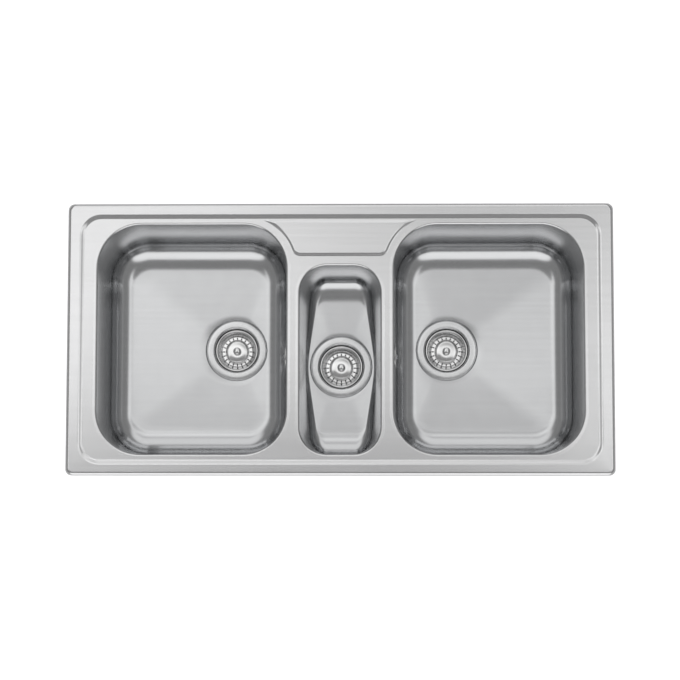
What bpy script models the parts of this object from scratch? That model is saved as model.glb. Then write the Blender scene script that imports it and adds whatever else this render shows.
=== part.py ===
"""Inset kitchen sink with two large bowls and a small middle one, each with a basket waste.

A pressed steel deck carries three drawn bowls. Below it hang the wastes, the overflows of the
large bowls and the clips that pull the rim down onto a worktop. The origin is the centre of the
worktop cut-out, at the height of the worktop's surface; +X is to the right and +Y to the back.
"""

import math

import bmesh
import bpy
from mathutils import Vector

MM = 0.001

# Deck
SINK_HALF = Vector((500 * MM, 250 * MM))
RIM_CORNER = 12 * MM
RIM_TOP = 6.5 * MM
RIM_ROLL = 7 * MM
SKIRT_BOTTOM = 0.3 * MM
SHEET = 0.8 * MM
STEP_HALF = Vector((475.5 * MM, 227.5 * MM))
STEP_CORNER = 38 * MM
STEP_WIDTH = 3.5 * MM
LEDGE_TOP = 6.2 * MM
DECK_TOP = 4.7 * MM
LEDGE_FRONT = 152 * MM
LEDGE_ARC = 95.3 * MM
LEDGE_FILLET = 12 * MM
LEDGE_GROOVE = 2.5 * MM
LEDGE_STEP = 3 * MM

# Bowls
LIP = 3.5 * MM
WELD_FLANGE = 4 * MM
WELD_GAP = 0.3 * MM
EDGE_RISE = 1.5 * MM
RECESS_RADIUS = 58.5 * MM
RECESS_DEPTH = 3.2 * MM
DRAIN_HOLE = 45 * MM
LARGE_CENTRE_X = 271.5 * MM
LARGE_DRAIN_SHIFT = 70 * MM
LARGE_BOWL = {
    "half": Vector((173 * MM, 211 * MM)),
    "corner": 80 * MM,
    "depth": 180 * MM,
    "floor_half": Vector((130 * MM, 157 * MM)),
    "floor_corner": 34 * MM,
    "waist": 0.0,
    "wall_share": (0.15, 0.15),
    "wall_depth": (0.785, 0.785),
}
CENTRE_BOWL = {
    "half": Vector((74 * MM, 173 * MM)),
    "corner": 50 * MM,
    "depth": 140 * MM,
    "floor_half": Vector((62 * MM, 127 * MM)),
    "floor_corner": 16 * MM,
    "waist": 2.96,
    "wall_share": (0.70, 0.15),
    "wall_depth": (0.93, 0.75),
}
CENTRE_BOWL_Y = -38 * MM
CENTRE_DRAIN_SHIFT = 2 * MM
WAIST_ROUND = 26 * MM

# Overflows, on the walls of the large bowls that face the middle
OVERFLOW_Y = -27 * MM
OVERFLOW_DROP = 60 * MM
OVERFLOW_HOLE = 16.5 * MM
ELBOW_OFFSET = 13 * MM
ELBOW_DROP = 42 * MM
HOSE_RADIUS = 11 * MM
HOSE_GROOVE = 10.1 * MM
HOSE_BORE = 8.8 * MM
HOSE_OVERLAP = 17 * MM
HOSE_BEND = 34 * MM
HOSE_PITCH = 7 * MM
HOSE_SIDES = 9

# Wastes, measured from the bowl's floor at its drain
INLET_DROP = 34 * MM
INLET_REACH = 70 * MM
INLET_RADIUS = 8 * MM
INLET_BORE = 6 * MM
BASKET_HOLES = 20
BASKET_HOLE_RING = 25.8 * MM
BASKET_HOLE = 1.7 * MM
OUTLET_HOLES = 6
BOSS_BOTTOM = -76 * MM

# Clip rails and clips, with insets measured inwards from the sink's edge
CLIP_INSET = 27 * MM
CLIP_WIDTH = 12 * MM
LONG_RAIL = 880 * MM
SHORT_RAIL = 360 * MM
LONG_SIDE_CLIPS = (-380 * MM, 0.0, 380 * MM)

# Rim seal
SEAL_OUTER_INSET = 7.5 * MM
SEAL_WIDTH = 7 * MM
SEAL_HEIGHT = 5.4 * MM

CORNER_STEPS = 5
ROUND_STEPS = 18
DRAIN_STEPS = 24


def clear_scene():
    for old in list(bpy.data.objects):
        bpy.data.objects.remove(old)


def collection(name):
    made = bpy.data.collections.new(name)
    bpy.context.scene.collection.children.link(made)
    return made


def principled(name, colour, roughness, metallic):
    """A plain material of one colour."""
    material = bpy.data.materials.new(name)
    material.use_nodes = True
    shader = material.node_tree.nodes["Principled BSDF"]
    shader.inputs["Base Color"].default_value = (*colour, 1.0)
    shader.inputs["Roughness"].default_value = roughness
    shader.inputs["Metallic"].default_value = metallic
    return material


clear_scene()
SINK = collection("three_bowl_sink")
CUTTERS = collection("cutters")
BRUSHED = principled("brushed_stainless", (0.62, 0.62, 0.63), 0.32, 1.0)
POLISHED = principled("polished_stainless", (0.72, 0.72, 0.73), 0.12, 1.0)
ZINC = principled("zinc_plated_steel", (0.55, 0.56, 0.58), 0.42, 1.0)
FOAM = principled("grey_foam", (0.16, 0.16, 0.17), 0.95, 0.0)
RUBBER = principled("black_rubber", (0.03, 0.03, 0.03), 0.75, 0.0)
WHITE_PLASTIC = principled("white_plastic", (0.80, 0.80, 0.78), 0.45, 0.0)
GREY_HOSE = principled("grey_hose", (0.52, 0.53, 0.54), 0.55, 0.0)


# ---------------------------------------------------------------- objects and modifiers


def place(name, data, material, parent=None, location=(0, 0, 0)):
    """A visible object of the sink, with its own material."""
    made = bpy.data.objects.new(name, data)
    SINK.objects.link(made)
    made.location = location
    made.parent = parent
    if material is not None:
        made.data.materials.clear()
        made.data.materials.append(material)
    return made


def empty(name, location, parent=None, rotation=(0, 0, 0)):
    made = bpy.data.objects.new(name, None)
    SINK.objects.link(made)
    made.location = location
    made.rotation_euler = rotation
    made.parent = parent
    return made


def helper(name, mesh, parent=None, location=(0, 0, 0), rotation=(0, 0, 0)):
    """A shape that only cuts or joins others."""
    made = bpy.data.objects.new(name, mesh)
    CUTTERS.objects.link(made)
    made.location = location
    made.rotation_euler = rotation
    made.parent = parent
    made.hide_render = True
    made.display_type = "WIRE"
    return made


def boolean(target, other, operation):
    modifier = target.modifiers.new(f"{operation.lower()}_{other.name}", "BOOLEAN")
    modifier.operation = operation
    modifier.solver = "EXACT"
    modifier.object = other


def shade_by_angle(mesh, degrees=35):
    mesh.shade_smooth()
    mesh.set_sharp_from_angle(angle=math.radians(degrees))


def screw_around(made, steps):
    """Turns an object's profile round its own Z axis."""
    modifier = made.modifiers.new("turn", "SCREW")
    modifier.steps = steps
    modifier.render_steps = steps
    modifier.use_merge_vertices = True
    modifier.merge_threshold = 0.00001


def profile_mesh(name, points, closed):
    """A profile in the XZ plane, given as (radius, height) in millimetres."""
    mesh = bpy.data.meshes.new(name)
    count = len(points)
    edges = [(i, i + 1) for i in range(count - 1)]
    if closed:
        edges.append((count - 1, 0))
    mesh.from_pydata([(r * MM, 0.0, z * MM) for r, z in points], edges, [])
    return mesh


def turned(name, points, material, parent, closed=True, steps=ROUND_STEPS, location=(0, 0, 0)):
    made = place(name, profile_mesh(name, points, closed), material, parent, location)
    screw_around(made, steps)
    return made


def cylinder_mesh(name, radius, low, high, steps=ROUND_STEPS):
    """A capped cylinder along Z between two heights."""
    mesh = bpy.data.meshes.new(name)
    build = bmesh.new()
    bmesh.ops.create_cone(
        build, cap_ends=True, segments=steps, radius1=radius, radius2=radius, depth=high - low
    )
    bmesh.ops.translate(build, verts=build.verts, vec=(0, 0, (low + high) / 2))
    build.to_mesh(mesh)
    build.free()
    return mesh


def box_mesh(name, size, centre):
    mesh = bpy.data.meshes.new(name)
    build = bmesh.new()
    bmesh.ops.create_cube(build, size=1.0)
    bmesh.ops.scale(build, verts=build.verts, vec=size)
    bmesh.ops.translate(build, verts=build.verts, vec=centre)
    build.to_mesh(mesh)
    build.free()
    return mesh


# ---------------------------------------------------------------- outlines


def arc(centre, radius, start, end, steps):
    """Points on an arc, both ends included, with angles in degrees."""
    angles = [math.radians(start + (end - start) * i / steps) for i in range(steps + 1)]
    return [(centre[0] + radius * math.cos(a), centre[1] + radius * math.sin(a)) for a in angles]



def rounded_rectangle(half, radius, centre=(0.0, 0.0), steps=CORNER_STEPS, side_points=0):
    """Counter-clockwise outline from the right side's upper corner, with extra points on both long sides."""
    inner = (half[0] - radius, half[1] - radius)
    points = []
    for turn, (sx, sy) in enumerate(((1, 1), (-1, 1), (-1, -1), (1, -1))):
        middle = (centre[0] + sx * inner[0], centre[1] + sy * inner[1])
        points += arc(middle, radius, 90 * turn, 90 * turn + 90, steps)
        if turn in (1, 3):
            for i in range(side_points):
                along = inner[1] - 2 * inner[1] * (i + 1) / (side_points + 1)
                points.append((centre[0] + sx * half[0], centre[1] + sy * along))
    return points


def circle(radius, centre, count, start=0.0):
    turns = [start + 2 * math.pi * i / count for i in range(count)]
    return [(centre[0] + radius * math.cos(a), centre[1] + radius * math.sin(a)) for a in turns]


def at_height(outline, z):
    return [(x, y, z) for x, y in outline]


def ledge_outline(grow):
    """The tap ledge's outline: a straight front, and arcs round the large bowls' corners at its sides."""
    corner_x = LARGE_CENTRE_X - LARGE_BOWL["half"][0] + LARGE_BOWL["corner"]
    corner_y = LARGE_BOWL["half"][1] - LARGE_BOWL["corner"]
    side = LEDGE_ARC - grow
    small = LEDGE_FILLET + grow
    fillet_y = LEDGE_FRONT - grow + small
    rise = (fillet_y - corner_y) / (side + small)
    fillet_x = corner_x - (side + small) * math.sqrt(1 - rise * rise)
    angle = math.degrees(math.asin(rise))
    back = STEP_HALF[1] - STEP_WIDTH - LEDGE_GROOVE + grow
    last = math.degrees(math.asin((back - corner_y) / side))
    right = arc((fillet_x, fillet_y), small, -90, -angle, 3)[:-1]
    right += arc((corner_x, corner_y), side, 180 - angle, 180 - last, 6)
    return right + [(-x, y) for x, y in reversed(right)]


# ---------------------------------------------------------------- sheets


def add_ring(build, points):
    return [build.verts.new(point) for point in points]


def join_rings(build, first, second):
    """Quads from one ring to the next, which has the same number of points."""
    count = len(first)
    for i in range(count):
        j = (i + 1) % count
        build.faces.new((first[i], first[j], second[j], second[i]))


def loft(build, rings):
    """Walls through the rings in turn; gives back the first and the last ring."""
    made = [add_ring(build, ring) for ring in rings]
    for first, second in zip(made, made[1:]):
        join_rings(build, first, second)
    return made[0], made[-1]


def fill_between(build, rings):
    """Flat faces inside the first ring and outside the others."""
    edges = []
    for ring in rings:
        for i, vert in enumerate(ring):
            following = ring[(i + 1) % len(ring)]
            edges.append(build.edges.get((vert, following)) or build.edges.new((vert, following)))
    bmesh.ops.triangle_fill(build, use_beauty=True, edges=edges)


def sheet_object(name, build, parent):
    """A pressed sheet: the surface faces up, and its thickness lies behind it."""
    bmesh.ops.recalc_face_normals(build, faces=build.faces)
    upward = max(build.faces, key=lambda face: face.calc_center_median().z)
    if upward.normal.z < 0:
        bmesh.ops.reverse_faces(build, faces=build.faces)
    mesh = bpy.data.meshes.new(name)
    build.to_mesh(mesh)
    build.free()
    made = place(name, mesh, BRUSHED, parent)
    solidify = made.modifiers.new("sheet", "SOLIDIFY")
    solidify.thickness = SHEET
    solidify.offset = -1.0
    return made


def turned_down(half, corner, low, high, roll):
    """Rings of an edge that rolls from a vertical skirt onto a flat top."""
    rings = [at_height(rounded_rectangle(half, corner), low)]
    for i in range(4):
        angle = math.radians(30 * i)
        inset = roll * (1 - math.cos(angle))
        shape = rounded_rectangle((half[0] - inset, half[1] - inset), max(corner - inset, corner * 0.4))
        rings.append(at_height(shape, high - roll * 0.8 * (1 - math.sin(angle))))
    return rings


def make_deck():
    """The pressed deck: rolled edge, outer strip, sunken middle and tap ledge, with three cut-outs."""
    build = bmesh.new()
    rings = turned_down(SINK_HALF, RIM_CORNER, SKIRT_BOTTOM, RIM_TOP, RIM_ROLL)
    for inset, z in ((0.0, RIM_TOP), (STEP_WIDTH, DECK_TOP)):
        half = (STEP_HALF[0] - inset, STEP_HALF[1] - inset)
        rings.append(at_height(rounded_rectangle(half, STEP_CORNER - inset), z))
    step_foot = loft(build, rings)[1]
    ledge_foot = at_height(ledge_outline(0.0), DECK_TOP)
    ledge_brow = at_height(ledge_outline(-LEDGE_STEP), LEDGE_TOP)
    foot, brow = loft(build, [ledge_foot, ledge_brow])
    fill_between(build, [brow])
    holes = []
    for bowl, centre in bowl_places():
        grow = WELD_FLANGE + WELD_GAP
        outline = bowl_outline(bowl, centre, bowl["half"], bowl["corner"], grow + LIP)
        holes.append(add_ring(build, at_height(outline, DECK_TOP)))
    fill_between(build, [step_foot, foot] + holes)
    return sheet_object("sink_deck", build, None)


# ---------------------------------------------------------------- bowls


def bowl_places():
    return (
        (LARGE_BOWL, (-LARGE_CENTRE_X, 0.0)),
        (CENTRE_BOWL, (0.0, CENTRE_BOWL_Y)),
        (LARGE_BOWL, (LARGE_CENTRE_X, 0.0)),
    )


def bowl_outline(bowl, centre, half, corner, grow=0.0, waist=0.0):
    """A bowl's outline, grown on every side, and drawn in by waist for each metre it is from the drain."""
    side_points = 5 if bowl["waist"] else 1
    grown = (half[0] + grow, half[1] + grow)
    shape = rounded_rectangle(grown, corner + grow, (0.0, 0.0), CORNER_STEPS, side_points)
    points = []
    for x, y in shape:
        narrow = 1 - waist * (math.hypot(y - CENTRE_DRAIN_SHIFT, WAIST_ROUND) - WAIST_ROUND)
        points.append((centre[0] + x * narrow, centre[1] + y))
    return points


def wall_ring(bowl, centre, share, z):
    """A ring of the bowl's wall, where share runs from 0 at the rim to 1 at the floor's edge."""
    half = [bowl["half"][i] + (bowl["floor_half"][i] - bowl["half"][i]) * share[i] for i in (0, 1)]
    mean = (share[0] + share[1]) / 2
    corner = bowl["corner"] + (bowl["floor_corner"] - bowl["corner"]) * mean
    return at_height(bowl_outline(bowl, centre, half, corner, 0.0, bowl["waist"] * mean), z)


def floor_height(bowl):
    return DECK_TOP - bowl["depth"]


def make_bowl(name, bowl, centre, drain):
    """A drawn bowl, from its weld flange over the lip and down to the drain hole."""
    build = bmesh.new()
    half, corner = bowl["half"], bowl["corner"]
    rings = [at_height(bowl_outline(bowl, centre, half, corner, LIP + WELD_FLANGE), DECK_TOP)]
    for degrees in (0, 45, 90):
        angle = math.radians(degrees)
        grow = LIP * (1 - math.sin(angle))
        z = DECK_TOP - LIP * (1 - math.cos(angle))
        rings.append(at_height(bowl_outline(bowl, centre, half, corner, grow), z))
    straight = bowl["wall_share"]
    knee = -bowl["depth"] * sum(bowl["wall_depth"]) / 2
    rings.append(wall_ring(bowl, centre, straight, DECK_TOP + knee))
    floor = floor_height(bowl)
    for degrees in (22, 45, 68, 90):
        angle = math.radians(degrees)
        share = [s + (1 - s) * (1 - math.cos(angle)) for s in straight]
        z = DECK_TOP + knee + (floor + EDGE_RISE - DECK_TOP - knee) * math.sin(angle)
        rings.append(wall_ring(bowl, centre, share, z))
    floor_edge = loft(build, rings)[1]
    turned_rings = [
        at_height(circle(radius, drain, DRAIN_STEPS), z)
        for radius, z in (
            (RECESS_RADIUS + 2 * MM, floor),
            (RECESS_RADIUS, floor - 1.5 * MM),
            (RECESS_RADIUS - 1 * MM, floor - RECESS_DEPTH),
            (DRAIN_HOLE, floor - RECESS_DEPTH),
        )
    ]
    recess_brow = loft(build, turned_rings)[0]
    fill_between(build, [floor_edge, recess_brow])
    return sheet_object(name, build, None)


# ---------------------------------------------------------------- wastes


def ring_of_cylinders(name, count, ring, radius, low, high, sides=8):
    """Equal cylinders in a ring round Z, in one mesh."""
    mesh = bpy.data.meshes.new(name)
    build = bmesh.new()
    for x, y in circle(ring, (0.0, 0.0), count):
        made = bmesh.ops.create_cone(
            build, cap_ends=True, segments=sides, radius1=radius, radius2=radius, depth=high - low
        )
        bmesh.ops.translate(build, verts=made["verts"], vec=(x, y, (low + high) / 2))
    build.to_mesh(mesh)
    build.free()
    return mesh


def make_cup(side, waste):
    """The flange that lies in the bowl's recess, and the cup below it with its outlet holes."""
    cup = turned(f"{side}_waste_cup", (
        (56.3, -1.8), (56.3, -2.9), (42.6, -2.9), (42.6, -43.0), (39.0, -47.0), (20.5, -47.0), (20.5, -53.2),
        (3.2, -53.2), (3.2, -52.0), (19.3, -52.0), (19.3, -45.8), (38.4, -45.8), (41.4, -42.4), (41.4, -4.0),
        (45.0, -0.7),
    ), POLISHED, waste)
    holes = ring_of_cylinders(f"{side}_outlet_holes", OUTLET_HOLES, 11.8 * MM, 4.3 * MM, -60 * MM, -50 * MM)
    boolean(cup, helper(f"{side}_outlet_cutter", holes, waste), "DIFFERENCE")
    return cup


def make_basket(side, waste):
    """The basket with its stem, the knob on top and the rubber plug seal round the stem's foot."""
    lift = empty(f"{side}_basket_lift", (0, 0, 0), waste)
    basket = turned(f"{side}_basket", (
        (0.0, -20.2), (12.0, -20.7), (23.0, -24.9), (28.6, -24.9), (36.6, -6.2), (38.5, -6.4), (38.5, -7.4),
        (37.2, -8.0), (29.2, -26.1), (22.6, -26.1), (12.0, -22.1), (5.0, -22.1), (5.0, -37.5), (8.0, -37.5),
        (8.0, -39.5), (5.0, -39.5), (5.0, -43.7), (8.0, -43.7), (8.0, -45.0), (0.0, -45.0),
    )[::1], POLISHED, lift, closed=False)
    holes = ring_of_cylinders(
        f"{side}_basket_holes", BASKET_HOLES, BASKET_HOLE_RING, BASKET_HOLE, -30 * MM, -22 * MM, 6
    )
    boolean(basket, helper(f"{side}_basket_cutter", holes, lift), "DIFFERENCE")
    turned(f"{side}_basket_knob", (
        (0.0, -10.6), (5.0, -11.0), (7.5, -13.4), (7.0, -15.2), (3.8, -17.6), (3.8, -19.8), (0.0, -19.8),
    ), POLISHED, lift, closed=False, steps=12)
    turned(f"{side}_plug_seal", (
        (5.3, -39.8), (14.0, -39.8), (28.5, -43.8), (28.5, -45.4), (14.0, -43.4), (5.3, -43.4),
    ), RUBBER, lift)


def make_waste_body(side, waste, inlet_angle):
    """The plastic housing that hangs below the bowl, with the screw's boss on three ribs."""
    body = turned(f"{side}_waste_body", (
        (54.0, -7.6), (54.0, -10.6), (46.6, -12.4), (46.4, -52.0), (43.0, -60.0), (24.0, -67.0),
        (24.0, -104.0), (20.0, -104.0), (20.0, -65.4), (40.8, -57.6), (44.2, -51.0), (44.2, -7.6),
    ), WHITE_PLASTIC, waste)
    boss = cylinder_mesh(f"{side}_boss", 6 * MM, BOSS_BOTTOM, -53.5 * MM, 16)
    boolean(body, helper(f"{side}_boss_shape", boss, waste), "UNION")
    for i in range(3):
        rib = box_mesh(f"{side}_rib_{i}", (19 * MM, 2.4 * MM, 9.5 * MM), (12 * MM, 0, BOSS_BOTTOM + 5 * MM))
        turn = (0, 0, math.radians(120 * i + 30))
        boolean(body, helper(f"{side}_rib_shape_{i}", rib, waste, rotation=turn), "UNION")
    hole = cylinder_mesh(f"{side}_screw_hole", 3.2 * MM, BOSS_BOTTOM - 2 * MM, -50 * MM, 16)
    boolean(body, helper(f"{side}_screw_cutter", hole, waste), "DIFFERENCE")
    if inlet_angle is None:
        return
    facing = (0, math.radians(90), inlet_angle)
    level = (0, 0, -INLET_DROP)
    spigot = cylinder_mesh(f"{side}_spigot", INLET_RADIUS, 45 * MM, INLET_REACH, 16)
    boolean(body, helper(f"{side}_spigot_shape", spigot, waste, level, facing), "UNION")
    bore = cylinder_mesh(f"{side}_bore", INLET_BORE, 40 * MM, INLET_REACH + 5 * MM, 16)
    boolean(body, helper(f"{side}_bore_cutter", bore, waste, level, facing), "DIFFERENCE")


def make_waste(side, drain, floor, inlet_angle=None):
    waste = empty(f"{side}_waste", (drain[0], drain[1], floor))
    make_cup(side, waste)
    make_basket(side, waste)
    turned(f"{side}_waste_gasket", ((55.0, -4.3), (55.0, -7.3), (46.0, -7.3), (46.0, -4.3)), RUBBER, waste)
    make_waste_body(side, waste, inlet_angle)
    turned(f"{side}_waste_screw", (
        (0.0, -48.6), (4.6, -49.0), (5.6, -51.7), (2.9, -51.7), (2.9, -74.0), (0.0, -74.0),
    ), ZINC, waste, closed=False, steps=10)


# ---------------------------------------------------------------- overflows


def overflow_frame(side, sign):
    """An empty on the bowl's wall: its Z points into the bowl and its Y up the wall."""
    fall = LARGE_BOWL["wall_share"][0] * (LARGE_BOWL["half"][0] - LARGE_BOWL["floor_half"][0])
    run = LARGE_BOWL["depth"] * sum(LARGE_BOWL["wall_depth"]) / 2 - LIP
    lean = math.atan2(fall, run)
    inwards = fall * (OVERFLOW_DROP - LIP) / run
    wall_x = LARGE_CENTRE_X - LARGE_BOWL["half"][0] + inwards
    place_at = (sign * wall_x, OVERFLOW_Y, DECK_TOP - OVERFLOW_DROP)
    return empty(f"{side}_overflow", place_at, None, (math.radians(90) - lean, 0, sign * math.radians(90)))


def make_overflow(side, sign, drain, floor):
    overflow = overflow_frame(side, sign)
    cutter = cylinder_mesh(f"{side}_overflow_hole", OVERFLOW_HOLE, -5 * MM, 5 * MM)
    bowl = bpy.data.objects[f"{side}_bowl"]
    boolean(bowl, helper(f"{side}_overflow_cutter", cutter, overflow), "DIFFERENCE")
    rosette = turned(f"{side}_overflow_rosette", (
        (23.0, 1.2), (23.0, 0.3), (2.6, 0.3), (2.6, 2.4), (17.0, 2.3),
    ), POLISHED, overflow)
    holes = ring_of_cylinders(f"{side}_rosette_holes", 8, 11.5 * MM, 2.6 * MM, -3 * MM, 6 * MM, 6)
    boolean(rosette, helper(f"{side}_rosette_cutter", holes, overflow), "DIFFERENCE")
    turned(f"{side}_overflow_screw", (
        (0.0, 4.6), (3.4, 4.2), (4.4, 2.7), (2.1, 2.7), (2.1, -16.0), (0.0, -16.0),
    ), ZINC, overflow, closed=False, steps=10)
    gasket = ((22.5, -1.1), (22.5, -3.1), (17.6, -3.1), (17.6, -1.1))
    turned(f"{side}_overflow_gasket", gasket, RUBBER, overflow)
    elbow = turned(f"{side}_overflow_elbow", (
        (22.0, -3.4), (22.0, -5.4), (19.2, -5.4), (19.2, -21.7), (2.6, -21.7), (2.6, -8.0), (5.0, -8.0),
        (5.0, -19.7), (17.2, -19.7), (17.2, -3.4),
    ), WHITE_PLASTIC, overflow)
    down = (math.radians(90), 0, 0)
    axis_at = (0, 0, -ELBOW_OFFSET)
    spigot = cylinder_mesh(f"{side}_elbow_spigot", INLET_RADIUS, 18 * MM, ELBOW_DROP, 16)
    boolean(elbow, helper(f"{side}_elbow_spigot_shape", spigot, overflow, axis_at, down), "UNION")
    bore = cylinder_mesh(f"{side}_elbow_bore", INLET_BORE, 12 * MM, ELBOW_DROP + 5 * MM, 16)
    boolean(elbow, helper(f"{side}_elbow_bore_cutter", bore, overflow, axis_at, down), "DIFFERENCE")
    make_hose(side, overflow, drain, floor)


def hose_route(overflow, drain, floor):
    """Centre points of the hose: down the elbow's spigot, round a bend, and onto the waste's inlet."""
    bpy.context.view_layer.update()
    start = overflow.matrix_world @ Vector((0, HOSE_OVERLAP - ELBOW_DROP, -ELBOW_OFFSET))
    top = overflow.matrix_world @ Vector((0, -ELBOW_DROP - 4 * MM, -ELBOW_OFFSET))
    across = Vector((drain[0] - top.x, drain[1] - top.y, 0.0))
    inwards = across.normalized()
    low = floor - INLET_DROP
    corner = Vector((top.x, top.y, low + HOSE_BEND))
    bend = corner + inwards * HOSE_BEND
    points = [start, top]
    turns = 6
    for i in range(turns + 1):
        angle = math.pi / 2 * i / turns
        down = Vector((0, 0, HOSE_BEND * math.sin(angle)))
        points.append(bend - inwards * HOSE_BEND * math.cos(angle) - down)
    points.append(Vector((drain[0], drain[1], low)) - inwards * (INLET_REACH - HOSE_OVERLAP))
    return points


def along(route, step):
    """Evenly spaced points of a route, with their directions."""
    found = []
    carried = 0.0
    for first, second in zip(route, route[1:]):
        length = (second - first).length
        direction = (second - first).normalized()
        while carried < length:
            found.append((first + direction * carried, direction))
            carried += step
        carried -= length
    return found


def hose_ring(centre, direction, radius):
    side = direction.cross(Vector((0.0, 1.0, 0.0))).normalized()
    other = direction.cross(side)
    spread = circle(radius, (0.0, 0.0), HOSE_SIDES)
    return [tuple(centre + side * a + other * b) for a, b in spread]


def make_hose(side, overflow, drain, floor):
    """A ribbed hose over both spigots, open at its ends."""
    stations = along(hose_route(overflow, drain, floor), HOSE_PITCH)
    rings = []
    for i, (centre, direction) in enumerate(stations):
        rings.append(hose_ring(centre, direction, HOSE_GROOVE if i % 2 else HOSE_RADIUS))
    for centre, direction in stations[::-3] + stations[:1]:
        rings.append(hose_ring(centre, direction, HOSE_BORE))
    build = bmesh.new()
    made = [add_ring(build, ring) for ring in rings]
    for first, second in zip(made, made[1:] + made[:1]):
        join_rings(build, first, second)
    bmesh.ops.remove_doubles(build, verts=build.verts, dist=0.00001)
    bmesh.ops.recalc_face_normals(build, faces=build.faces)
    mesh = bpy.data.meshes.new(f"{side}_overflow_hose")
    build.to_mesh(mesh)
    build.free()
    place(f"{side}_overflow_hose", mesh, GREY_HOSE)


# ---------------------------------------------------------------- seal, rails and clips


def make_rim_seal():
    """A strip of foam all round, under the rim's outer strip."""
    build = bmesh.new()
    rings = []
    low, high = 0.0, SEAL_HEIGHT
    for inset, z in ((0, low), (0, high), (SEAL_WIDTH, high), (SEAL_WIDTH, low)):
        total = SEAL_OUTER_INSET + inset
        half = (SINK_HALF[0] - total, SINK_HALF[1] - total)
        rings.append(add_ring(build, at_height(rounded_rectangle(half, max(RIM_CORNER - inset, 4 * MM)), z)))
    for first, second in zip(rings, rings[1:] + rings[:1]):
        join_rings(build, first, second)
    bmesh.ops.recalc_face_normals(build, faces=build.faces)
    mesh = bpy.data.meshes.new("rim_seal")
    build.to_mesh(mesh)
    build.free()
    place("rim_seal", mesh, FOAM)


def extruded(name, outline, length, material, parent, holes=()):
    """A bar along its parent's X, whose section is given as (inset, height) in millimetres."""
    build = bmesh.new()
    near = [build.verts.new((-length / 2, u * MM, z * MM)) for u, z in outline]
    face = build.faces.new(near)
    made = bmesh.ops.extrude_face_region(build, geom=[face])
    moved = [item for item in made["geom"] if isinstance(item, bmesh.types.BMVert)]
    bmesh.ops.translate(build, verts=moved, vec=(length, 0, 0))
    bmesh.ops.recalc_face_normals(build, faces=build.faces)
    mesh = bpy.data.meshes.new(name)
    build.to_mesh(mesh)
    build.free()
    bar = place(name, mesh, material, parent)
    for i, at in enumerate(holes):
        cutter = cylinder_mesh(f"{name}_hole_{i}", 3 * MM, -40 * MM, 10 * MM, 8)
        boolean(bar, helper(f"{name}_hole_cutter_{i}", cutter, parent, (at, 0, 0)), "DIFFERENCE")
    return bar


def make_clip(side, index, rail, at):
    """A clip that swivels round its screw, and the screw that pulls it up under the worktop."""
    pivot = empty(f"{side}_clip_pivot_{index}", (at, 0, 0), rail)
    heel = 6.6
    extruded(f"{side}_clip_{index}", (
        (heel, -2.6), (heel, -34.0), (-22.0, -34.0), (-22.0, -30.2), (-20.2, -30.2), (-20.2, -32.2),
        (heel - 1.8, -32.2), (heel - 1.8, -2.6),
    ), CLIP_WIDTH, ZINC, pivot, (0.0,))
    turned(f"{side}_clip_screw_{index}", (
        (0.0, 2.2), (2.5, 1.0), (2.5, -34.3), (5.0, -34.3), (5.0, -38.0), (0.0, -38.0),
    ), ZINC, pivot, closed=False, steps=8)


def make_rail(side, turn, edge, length, clips):
    """A folded rail under one side of the rim, with that side's clips."""
    frame = empty(f"{side}_rail_line", (0, 0, 0), None, (0, 0, math.radians(turn)))
    line = empty(f"{side}_rail_axis", (0, CLIP_INSET - edge, 0), frame)
    extruded(f"{side}_clip_rail", (
        (-12.0, 5.4), (-12.0, 4.2), (-7.0, 4.2), (-7.0, -2.2),
        (7.0, -2.2), (7.0, -1.0), (-5.8, -1.0), (-5.8, 5.4),
    ), length, ZINC, line, clips)
    for index, at in enumerate(clips, start=1):
        make_clip(side, index, line, at)


def make_sink():
    make_deck()
    large_floor = floor_height(LARGE_BOWL)
    for side, sign in (("left", -1), ("right", 1)):
        centre = (sign * LARGE_CENTRE_X, 0.0)
        drain = (sign * (LARGE_CENTRE_X - LARGE_DRAIN_SHIFT), 0.0)
        make_bowl(f"{side}_bowl", LARGE_BOWL, centre, drain)
        make_overflow(side, sign, drain, large_floor)
        elbow = bpy.data.objects[f"{side}_overflow"].matrix_world @ Vector((0, 0, -ELBOW_OFFSET))
        make_waste(side, drain, large_floor, math.atan2(elbow.y - drain[1], elbow.x - drain[0]))
    drain = (0.0, CENTRE_BOWL_Y + CENTRE_DRAIN_SHIFT)
    make_bowl("centre_bowl", CENTRE_BOWL, (0.0, CENTRE_BOWL_Y), drain)
    make_waste("centre", drain, floor_height(CENTRE_BOWL))
    make_rim_seal()
    make_rail("front", 0, SINK_HALF[1], LONG_RAIL, LONG_SIDE_CLIPS)
    make_rail("back", 180, SINK_HALF[1], LONG_RAIL, LONG_SIDE_CLIPS)
    make_rail("right", 90, SINK_HALF[0], SHORT_RAIL, (0.0,))
    make_rail("left", -90, SINK_HALF[0], SHORT_RAIL, (0.0,))
    for made in SINK.objects:
        if made.type == "MESH":
            shade_by_angle(made.data)


make_sink()
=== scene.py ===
"""The looks of the inset three-bowl sink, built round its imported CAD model.

Every piece stands where the CAD node it replaces stands. The pressed steel is made as smooth skins,
the wastes and baskets with their real perforations, and the parts below the deck with their
mouldings, threads and ribs. Lengths are in metres, in the frame of the CAD.
"""

import math

import bmesh
import bpy
from mathutils import Matrix, Vector


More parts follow.
